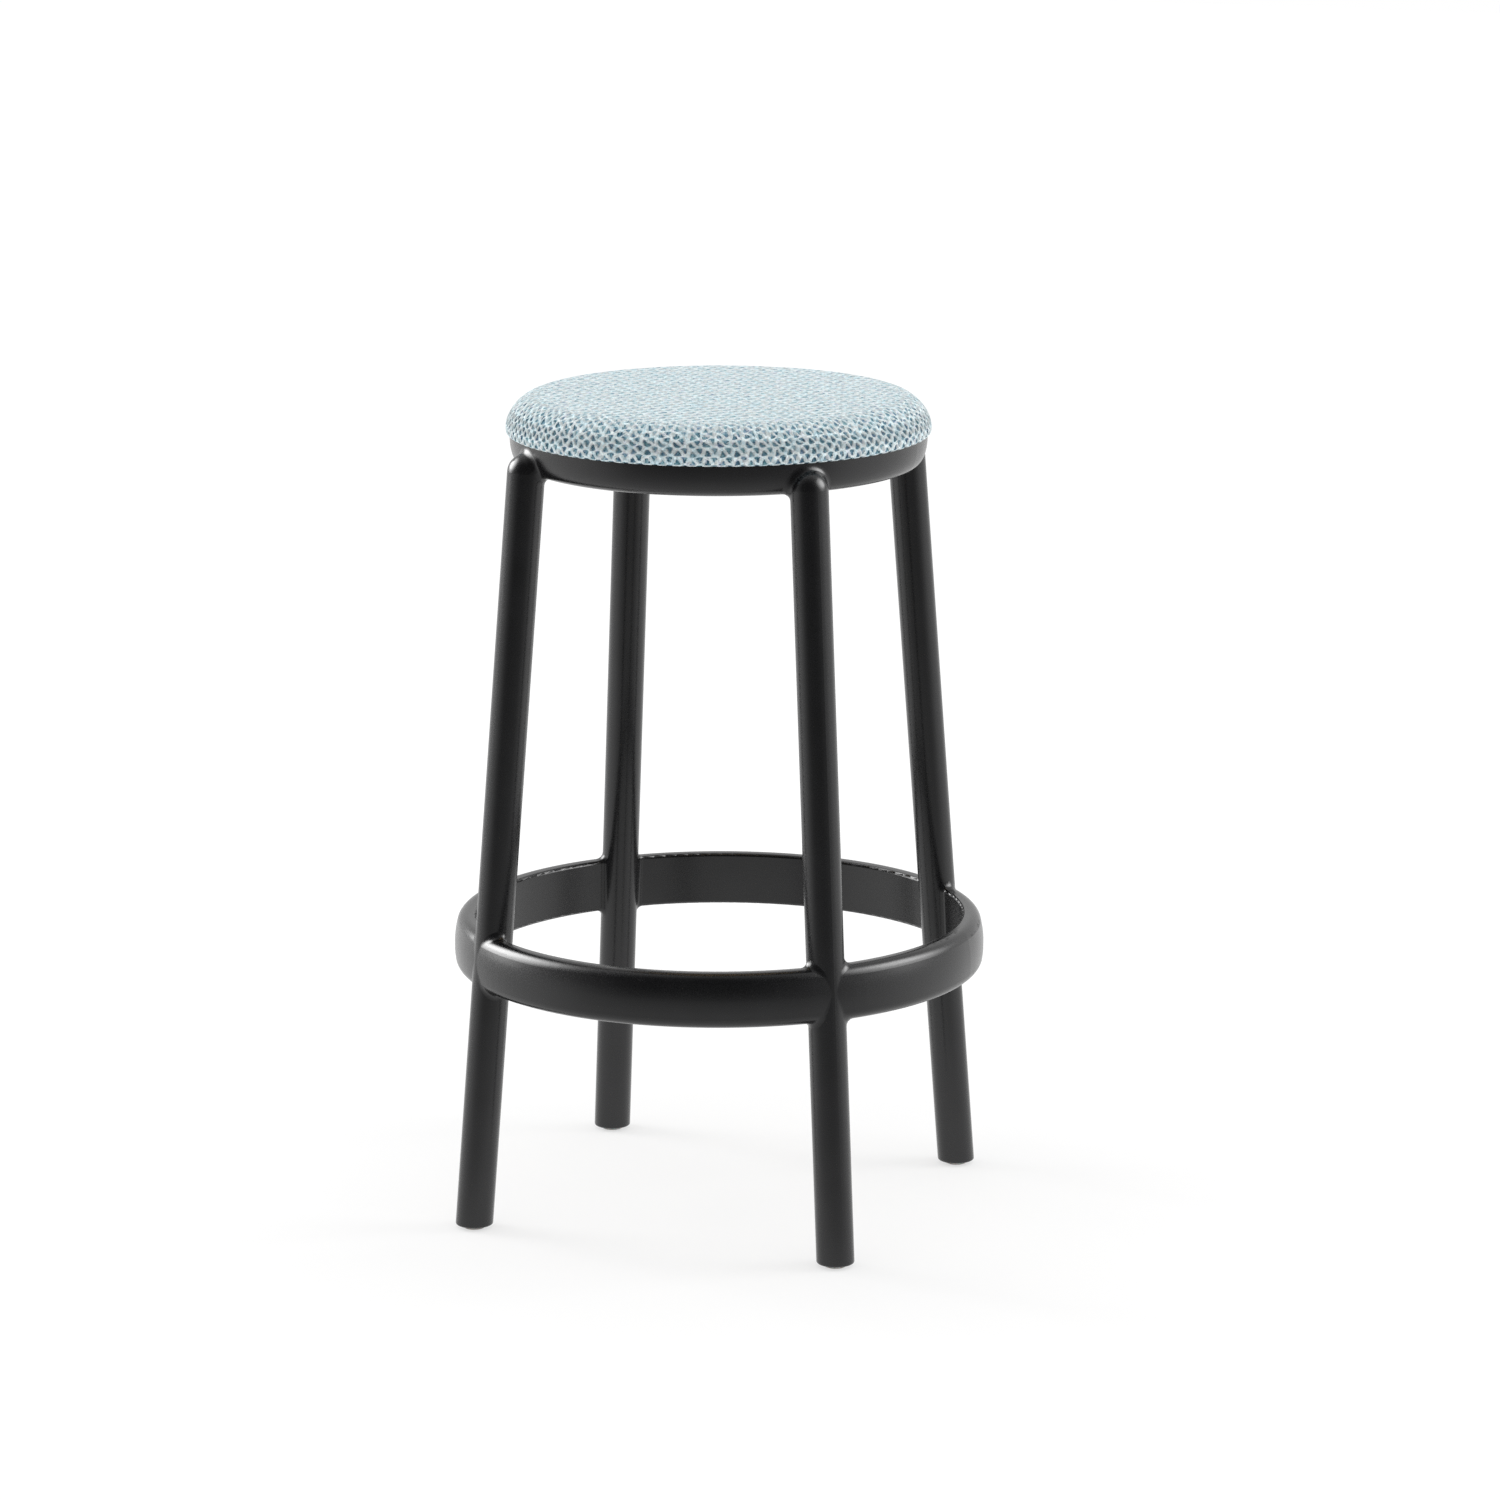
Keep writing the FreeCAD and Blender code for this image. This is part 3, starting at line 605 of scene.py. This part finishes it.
def blown_form():
    """The form after its foam has filled it: the cloth swells and pulls itself even."""
    form = turned_form()
    remesh = form.modifiers.new("even_cells", "REMESH")
    remesh.mode = "VOXEL"
    remesh.voxel_size = FORM_CELL
    graph = bpy.context.evaluated_depsgraph_get()
    form.data = bpy.data.meshes.new_from_object(form.evaluated_get(graph))
    form.modifiers.clear()
    start = np.array([v.co for v in form.data.vertices])
    outward = np.array([v.normal for v in form.data.vertices])

    on_board = form.vertex_groups.new(name="on_board")
    resting = np.nonzero(start[:, 2] < BOARD_BOTTOM + FORM_RESTING)[0]
    on_board.add([int(i) for i in resting], 1.0, "ADD")
    cloth = form.modifiers.new("blown", "CLOTH")
    cloth.settings.use_pressure = True
    cloth.settings.uniform_pressure_force = FORM_PRESSURE
    cloth.settings.effector_weights.gravity = 0
    cloth.settings.vertex_group_mass = "on_board"
    cloth.point_cache.frame_start = 1
    cloth.point_cache.frame_end = FORM_FRAMES
    for number in range(1, FORM_FRAMES + 1):
        bpy.context.scene.frame_set(number)
    graph = bpy.context.evaluated_depsgraph_get()
    blown = bpy.data.meshes.new_from_object(form.evaluated_get(graph))
    form.modifiers.clear()
    moved = np.array([v.co for v in blown.vertices]) - start
    swell = (moved * outward).sum(axis=1)
    swell *= FORM_SWELL / swell.max()
    blown.vertices.foreach_set("co", (start + outward * swell[:, None]).reshape(-1))
    form.data = blown
    form.modifiers.new("smoother", "SUBSURF").levels = 1
    bpy.context.scene.frame_set(1)
    return form


FORM_STATIONS = np.linspace(0, CORNER_ALONG, FORM_ROWS)


def form_stand():
    """How far the blown form stands outside the outline, at each station and azimuth."""
    azimuths = np.arange(FORM_ROUND + 1) * 2 * math.pi / FORM_ROUND - math.pi
    along, azimuth = np.meshgrid(FORM_STATIONS, azimuths, indexing="ij")
    stand = np.zeros(along.shape)
    form = blown_form()
    graph = bpy.context.evaluated_depsgraph_get()
    surface = BVHTree.FromObject(form, graph)
    outside = placed(along, azimuth, np.full(along.shape, FORM_REACH))
    inward = placed(along, azimuth, np.zeros(along.shape)) - outside
    for i, j in np.ndindex(*along.shape):
        start, way = Vector(outside[i, j]), Vector(inward[i, j])
        distance = surface.ray_cast(start, way, 3 * FORM_REACH)[3]
        if distance is not None:
            stand[i, j] = FORM_REACH - distance
    bpy.data.objects.remove(form, do_unlink=True)
    # The swell counts from the seat's side, so that the seat keeps its width.
    side = np.searchsorted(FORM_STATIONS, FORM_FADE[0])
    stand -= stand[side].mean()
    return stand * (1 - smooth(FORM_STATIONS, *FORM_FADE))[:, None]


FORM_STAND = form_stand()


def pad_stand(along, azimuth):
    """The blown form's stand at any places, read smoothly between its stations."""
    just_inside = FORM_ROWS - 1.001
    row = np.clip(along / FORM_STATIONS[1], 0, just_inside)
    turn = (azimuth + math.pi) % (2 * math.pi) / (2 * math.pi) * FORM_ROUND
    i, j = row.astype(int), turn.astype(int)
    a, b = row - i, turn - j
    k = (j + 1) % FORM_ROUND
    return ((1 - a) * (1 - b) * FORM_STAND[i, j] + (1 - a) * b * FORM_STAND[i, k]
            + a * (1 - b) * FORM_STAND[i + 1, j] + a * b * FORM_STAND[i + 1, k])


# ---------------------------------------------------------------- the knit


def wander(seed, column, course):
    """A smooth random field between -1 and 1 that changes about once a spot."""
    rows = WANDER_COURSES
    table = np.random.default_rng(seed).uniform(-1, 1, (rows, COLUMNS_ROUND))
    i, j = np.floor(course).astype(int), np.floor(column).astype(int)
    a, b = smooth(course - i, 0, 1), smooth(column - j, 0, 1)
    i0, i1 = i % rows, (i + 1) % rows
    j0, j1 = j % COLUMNS_ROUND, (j + 1) % COLUMNS_ROUND
    return ((1 - a) * (1 - b) * table[i0, j0] + (1 - a) * b * table[i0, j1]
            + a * (1 - b) * table[i1, j0] + a * b * table[i1, j1])


def knit_places(column, course, step, looseness):
    """Knit coordinates with the small shifts of a hand-stretched cover.

    The third number is how far each course steps sideways, in columns.
    """
    across_seed, down_seed = WANDER_SEEDS
    across = column + WANDER_ACROSS * looseness * wander(across_seed, column, course)
    down = course + WANDER_DOWN * looseness * wander(down_seed, column, course)
    return np.stack([across, down, np.full_like(across, step)], axis=-1)


def spot(off_centre, down, kind):
    """The same spot as in spot_in_shader, for the relief: its edge is twice as wide."""
    at_first, at_last = kind["widths"]
    start, end = kind["start"], kind["end"]
    width = at_first + (at_last - at_first) * (down - start) / (end - start)
    inside = smooth(width - off_centre, -SPOT_EDGE, SPOT_EDGE)
    below = smooth(down, start - SPOT_EDGE, start + SPOT_EDGE)
    return inside * below * (1 - smooth(down, end - SPOT_EDGE, end + SPOT_EDGE))


def knit_depth(knit):
    """How far the ground of a spot lies below the ribbons."""
    down = knit[..., 1] % 1
    column = knit[..., 0] + knit[..., 2] * np.floor(knit[..., 1])
    off_even = np.abs((column + 1) % 2 - 1)
    off_odd = np.abs((column - STANDING_SHIFT) % 2 - 1)
    spots = np.maximum(spot(off_even, down, HANGING), spot(off_odd, down, STANDING))
    return SPOT_DEPTH * spots


def band_stations():
    """Distances along the outline of the band's rows, and which rows are outside."""
    shown = np.linspace(BAND_START, CORNER_ALONG, BAND_ROWS)
    under = np.linspace(CORNER_ALONG, ALONG[-1], HEM_ROWS + 1)[1:]
    inner = [ALONG[-1], CORNER_ALONG + INNER_HEM_ROW, CORNER_ALONG]
    inner += [LEVEL_RADIUS + past for past in INNER_ROWS]
    stations = np.concatenate([shown, under, inner, [BAND_START]])
    return stations, np.arange(len(stations)) < len(shown) + len(under)


def band_knit(along, azimuth):
    """Knit coordinates round the band. The spots lean most where the side starts."""
    column = COLUMNS_ROUND * azimuth / (2 * math.pi) - CORNER_PULL * np.sin(4 * azimuth)
    upper = 1 - smooth(along, *UPPER_COURSES)
    column += FIRST_COLUMN + LEAN * upper
    course = (along - BAND_START) / COURSE + ZIGZAG * np.cos(math.pi * column)
    knit = knit_places(column, course, 0, 1 + WANDER_ABOVE * upper)
    skew = SKEW[1] + (SKEW[0] - SKEW[1]) * (1 - smooth(along, *SKEW_CHANGE))
    knit[..., 0] -= skew * (knit[..., 1] - 0.5)
    knit[..., 2] = skew
    return knit


def make_side_band(material):
    """The cover from the level top down over the side and under the board as a hem."""
    stations, outer = band_stations()
    columns = COLUMNS_ROUND * POINTS_TO_A_COLUMN
    azimuths = np.linspace(-math.pi, math.pi, columns + 1)
    along, azimuth = np.meshgrid(stations, azimuths, indexing="ij")
    knit = band_knit(along, azimuth)
    strength = TOP_STRENGTH + (1 - TOP_STRENGTH) * smooth(along, *FIRM_FROM)
    relief = knit_depth(knit) * strength
    relief *= 1 - smooth(along, CORNER_ALONG - RELIEF_FADE_AT_HEM, CORNER_ALONG)
    relief *= smooth(along, BAND_START, BAND_START + RELIEF_FADE_AT_BAND)
    stand = np.where(outer[:, None], pad_stand(along, azimuth) - relief, -COVER_THICKNESS)
    points = placed(along, azimuth, stand)[:, :-1]
    faces, row, col = ring_faces(len(stations), columns, True)
    row %= len(stations)
    return piece_of("seat_side_band", points, faces.tolist(), material,
                    knit[row, col], strength[row, col])


def make_top_panel(material):
    """The level top of the cover, knitted straight across.

    Points of a square net within half a cell of the circle where the band starts are drawn
    to it. Some at the inner corners of its outline lie further in and leave small gaps.
    """
    step = PANEL_CELL
    reach = int(BAND_START / step) + 2
    count = 2 * reach + 1
    line = (np.arange(count) - reach) * step
    y, x = np.meshgrid(line, line, indexing="ij")
    radius = np.hypot(x, y)
    kept = radius <= BAND_START + 0.5 * step
    edge = radius > BAND_START - 0.5 * step
    pull = np.where(edge, BAND_START / np.maximum(radius, step), 1.0)
    x, y = x * pull, y * pull
    radius = np.hypot(x, y)
    azimuth = np.arctan2(x, -y)
    knit = knit_places(x / TOP_COLUMN, -y / TOP_COURSE, TOP_STEP, 1.0)
    relief = TOP_STRENGTH * knit_depth(knit)
    relief *= 1 - smooth(radius, BAND_START - RELIEF_FADE_AT_PANEL, BAND_START)
    points = placed(radius, azimuth, pad_stand(radius, azimuth) - relief)

    index = np.arange(count * count).reshape(count, count)
    quad = np.stack([index[:-1, :-1], index[:-1, 1:], index[1:, 1:], index[1:, :-1]],
                    axis=-1).reshape(-1, 4)
    quad = quad[kept.reshape(-1)[quad].all(axis=1)]
    used, faces = np.unique(quad, return_inverse=True)
    faces = faces.reshape(-1, 4)
    points = points.reshape(-1, 3)[used]
    knit = knit.reshape(-1, 3)[used]
    piece = piece_of("seat_top_panel", points, faces.tolist(), material, knit[faces],
                     np.full(faces.shape, TOP_STRENGTH))
    thicken = piece.modifiers.new("cover_thickness", "SOLIDIFY")
    thicken.thickness = COVER_THICKNESS
    thicken.offset = -1
    return piece


def make_foam_pad(material):
    """The foam between the cover and the board, with a pocket for the board."""
    inset = COVER_THICKNESS + FIT
    middle = 20 * MM  # one flat face closes the pad inside this radius
    halfway = 120 * MM
    level_end = LEVEL_RADIUS - 3 * MM
    level_rows = 16
    side_rows = 30
    shown = np.concatenate([np.linspace(middle, level_end, level_rows),
                            np.linspace(LEVEL_RADIUS, CORNER_ALONG, side_rows)])
    azimuths = np.arange(FORM_ROUND * 2) * math.pi / FORM_ROUND
    along, azimuth = np.meshgrid(shown, azimuths, indexing="ij")
    outside = placed(along, azimuth, pad_stand(along, azimuth) - inset)
    pocket_wall = BOARD_RADIUS + FIT
    pocket_roof = BOARD_TOP + FIT
    pocket = [(pocket_wall, SEAT_UNDERSIDE + inset), (pocket_wall, pocket_roof),
              (halfway, pocket_roof), (middle, pocket_roof)]
    inside = np.array([[(r * math.sin(a), -r * math.cos(a), z) for a in azimuths]
                       for r, z in pocket])
    points = np.vstack([outside, inside])
    rows, columns = points.shape[:2]
    faces = ring_faces(rows, columns, False)[0].tolist()
    faces.append(list(range(columns)))
    faces.append([(rows - 1) * columns + i for i in reversed(range(columns))])
    return piece_of("seat_foam_pad", points, faces, material)


def make_seat():
    cover = knitted_cover()
    top = make_top_panel(cover)
    band = make_side_band(cover)
    foam = make_foam_pad(open_cell_foam())
    for piece, node, slot in [(top, "seat_cover", "seat_fabric"),
                              (band, "seat_cover", "seat_fabric"),
                              (foam, "seat_foam", "foam")]:
        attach(piece, "root")
        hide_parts(node)


# ---------------------------------------------------------------- the frame's finishes


def finish_frame():
    """Give every node that stays its own finish."""
    finishes = {
        glass_filled_nylon(): ["seat_hoop", "foot_ring", "upper_leg", "lower_leg"],
        plug_polypropylene(): ["leg_end_plug"],
        natural_nylon(): ["glide"],
        birch_plywood(): ["seat_board"],
        zinc_plated_steel(): ["cover_staples", "seat_screws", "seat_washers", "tee_nuts"],
        extruded_aluminium(): ["hoop_sleeves", "upper_ring_sleeves", "lower_ring_sleeves"],
    }
    for material, starts in finishes.items():
        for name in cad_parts:
            if name.startswith(tuple(starts)):
                node = bpy.data.objects[name]
                for holder in node.material_slots:
                    holder.material = material
                if not node.material_slots:
                    node.data.materials.append(material)


# ---------------------------------------------------------------- studio

FLOOR_REACH = 12.0  # from the middle of the floor to its sides
# How bright the floor is in gloss: at the sides, and at shares of its reach to the front.
SIDE_FLOOR_GLOSS = 1.10
FRONT_FLOOR_GLOSS = [(0.0, 1.15), (0.03, 1.0), (0.045, 0.70), (0.085, 0.60), (0.12, 0.38),
                     (0.20, 0.23), (0.42, 0.10), (1.0, 0.0)]
# Where the floor is seen, part of it glows and the rest is paint, which shows the shadow.
GLOW_SHARE_SEEN = 0.6
GLOW_SHARE_IN_GLOSS = 0.82
FLOOR_WHITE = (1.06, 1.24)  # the seen glow's strength, under the stool and away from it
FLOOR_WHITE_PLACES = (0.03, 0.12)  # shares of the floor's reach at which it has those
WORLD_LIGHT = 0.82
WORLD_GLOSS = (0.85, 0.08)  # behind the stool and at the dim front
STUDIO_FRONT = (0.34, -0.94, 0.0)  # along the floor toward the dim front of the studio
DIM_WAY = (0.16, -0.90, 0.40)  # where the studio is dimmest, a little above its horizon
MIDDLE = Vector((0, 0, 0.5))
SOFTBOX_REACH = 2.7
SOFTBOX_SIZE = 1.2
SOFTBOX_EDGE = (32, 15)  # degrees from its middle at which its glow starts and is full
# Direction of each softbox from the stool, its power and how much more it shows in gloss.
SOFTBOXES = {
    "left_softbox": {"way": (-0.900, 0.060, 0.43), "power": 23, "glow": 8.2},
    "right_softbox": {"way": (0.803, 0.325, 0.50), "power": 18, "glow": 4.2},
}
CAMERA_LENS = 144.58  # millimetres, as is the sensor's width
CAMERA_SENSOR = 36
CAMERA_PLACE = (1.9581, -5.3248, 1.7008)
CAMERA_DIP = 0.2177  # radians below the horizon
CAMERA_TURN = 0.34712  # radians from straight at the front


def seen_or_mirrored(tree, ray):
    """1 where the camera, a gloss or a clear thing looks, and 0 where light is spread."""
    looks = add(tree, "ShaderNodeMath", {0: ray["Is Camera Ray"], 1: ray["Is Glossy Ray"]},
                operation="MAXIMUM")
    return add(tree, "ShaderNodeMath",
               {0: looks.outputs[0], 1: ray["Is Transmission Ray"]},
               operation="MAXIMUM").outputs[0]


def floor_glow(tree, ray):
    """How brightly the floor glows where it is seen, and where it is mirrored."""
    place = add(tree, "ShaderNodeTexCoord").outputs["Object"]
    way = add(tree, "ShaderNodeVectorMath", {0: place}, operation="NORMALIZE").outputs[0]
    forward = add(tree, "ShaderNodeVectorMath", {0: way, 1: STUDIO_FRONT},
                  operation="DOT_PRODUCT").outputs["Value"]
    ahead = add(tree, "ShaderNodeMapRange",
                {"Value": forward, "From Min": 0.1, "From Max": 0.9},
                interpolation_type="SMOOTHSTEP").outputs[0]
    reach = add(tree, "ShaderNodeVectorMath", {0: place}, operation="LENGTH")
    reach = add(tree, "ShaderNodeMath", {0: reach.outputs["Value"], 1: FLOOR_REACH},
                operation="DIVIDE")
    front = add(tree, "ShaderNodeValToRGB", {"Fac": reach.outputs[0]},
                stops=[(share, grey(level)) for share, level in FRONT_FLOOR_GLOSS])
    lit = add(tree, "ShaderNodeMix",
              {0: ahead, 2: SIDE_FLOOR_GLOSS, 3: front.outputs["Color"]},
              data_type="FLOAT").outputs[0]
    white = add(tree, "ShaderNodeMapRange",
                {"Value": reach.outputs[0], "From Min": FLOOR_WHITE_PLACES[0],
                 "From Max": FLOOR_WHITE_PLACES[1], "To Min": FLOOR_WHITE[0],
                 "To Max": FLOOR_WHITE[1]}).outputs[0]
    return add(tree, "ShaderNodeMix", {0: ray["Is Camera Ray"], 2: lit, 3: white},
               data_type="FLOAT").outputs[0]


def white_floor():
    """Matt white paint: it shows as white and keeps a faint shadow.

    In gloss it dims toward the front of the studio, as the light on it does.
    """
    material, tree = new_material("white_floor")
    ray = add(tree, "ShaderNodeLightPath").outputs
    share = add(tree, "ShaderNodeMix",
                {0: ray["Is Camera Ray"], 2: GLOW_SHARE_IN_GLOSS, 3: GLOW_SHARE_SEEN},
                data_type="FLOAT")
    share = add(tree, "ShaderNodeMath",
                {0: seen_or_mirrored(tree, ray), 1: share.outputs[0]},
                operation="MULTIPLY")
    paint = add(tree, "ShaderNodeBsdfDiffuse", {"Color": linear("#F4F4F4")})
    glow = add(tree, "ShaderNodeEmission",
               {"Color": linear("#FFFFFF"), "Strength": floor_glow(tree, ray)})
    both = add(tree, "ShaderNodeMixShader",
               {0: share.outputs[0], 1: paint.outputs[0], 2: glow.outputs[0]})
    finish_material(tree, both)
    return material


def make_floor():
    """A wide square of studio floor under the stool."""
    size = FLOOR_REACH
    mesh = bpy.data.meshes.new("studio_floor")
    square = [(-size, -size, 0), (size, -size, 0), (size, size, 0), (-size, size, 0)]
    mesh.from_pydata(square, [], [(0, 1, 2, 3)])
    mesh.materials.append(white_floor())
    floor = bpy.data.objects.new("studio_floor", mesh)
    bpy.context.scene.collection.objects.link(floor)


def make_world():
    """Plain white light from all round, and white where it is seen.

    In gloss it is white behind the stool and dims toward the front of the studio.
    """
    world = bpy.data.worlds.new("studio")
    bpy.context.scene.world = world
    world.use_nodes = True
    tree = world.node_tree
    tree.nodes.clear()
    ray = add(tree, "ShaderNodeLightPath").outputs
    way = add(tree, "ShaderNodeTexCoord").outputs["Generated"]
    dim = add(tree, "ShaderNodeVectorMath", {0: way, 1: DIM_WAY},
              operation="DOT_PRODUCT").outputs["Value"]
    shown = add(tree, "ShaderNodeMapRange",
                {"Value": dim, "From Min": 0.05, "From Max": 0.95,
                 "To Min": WORLD_GLOSS[0], "To Max": WORLD_GLOSS[1]},
                interpolation_type="SMOOTHSTEP").outputs[0]
    rim, full = (math.cos(math.radians(angle)) for angle in SOFTBOX_EDGE)
    for softbox in SOFTBOXES.values():
        near = add(tree, "ShaderNodeVectorMath", {0: way, 1: softbox["way"]},
                   operation="DOT_PRODUCT").outputs["Value"]
        glow = add(tree, "ShaderNodeMapRange",
                   {"Value": near, "From Min": rim, "From Max": full,
                    "To Max": softbox["glow"]},
                   interpolation_type="SMOOTHSTEP").outputs[0]
        shown = add(tree, "ShaderNodeMath", {0: shown, 1: glow}, operation="ADD").outputs[0]
    shown = add(tree, "ShaderNodeMix", {0: ray["Is Camera Ray"], 2: shown, 3: 1.0},
                data_type="FLOAT").outputs[0]
    strength = add(tree, "ShaderNodeMix",
                   {0: seen_or_mirrored(tree, ray), 2: WORLD_LIGHT, 3: shown},
                   data_type="FLOAT")
    light = add(tree, "ShaderNodeBackground",
                {"Color": linear("#FFFFFF"), "Strength": strength.outputs[0]})
    add(tree, "ShaderNodeOutputWorld", {"Surface": light.outputs[0]})


def make_lamps():
    """Two square softboxes, above the stool on either side."""
    for name, softbox in SOFTBOXES.items():
        lamp = bpy.data.lights.new(name, "AREA")
        lamp.size = SOFTBOX_SIZE
        lamp.energy = softbox["power"]
        holder = bpy.data.objects.new(name, lamp)
        way = Vector(softbox["way"])
        holder.location = MIDDLE + SOFTBOX_REACH * way
        holder.rotation_euler = (-way).to_track_quat("-Z", "Y").to_euler()
        bpy.context.scene.collection.objects.link(holder)


def make_camera():
    """A long lens, a little above the seat and to the right of the front."""
    camera = bpy.data.cameras.new("camera")
    camera.lens = CAMERA_LENS
    camera.sensor_width = CAMERA_SENSOR
    holder = bpy.data.objects.new("camera", camera)
    holder.location = CAMERA_PLACE
    holder.rotation_euler = (math.pi / 2 - CAMERA_DIP, 0, CAMERA_TURN)
    bpy.context.scene.collection.objects.link(holder)
    bpy.context.scene.camera = holder


def main():
    make_camera()
    make_world()
    make_lamps()
    make_floor()
    finish_frame()
    make_seat()
    bpy.context.scene.view_settings.view_transform = "Standard"


main()
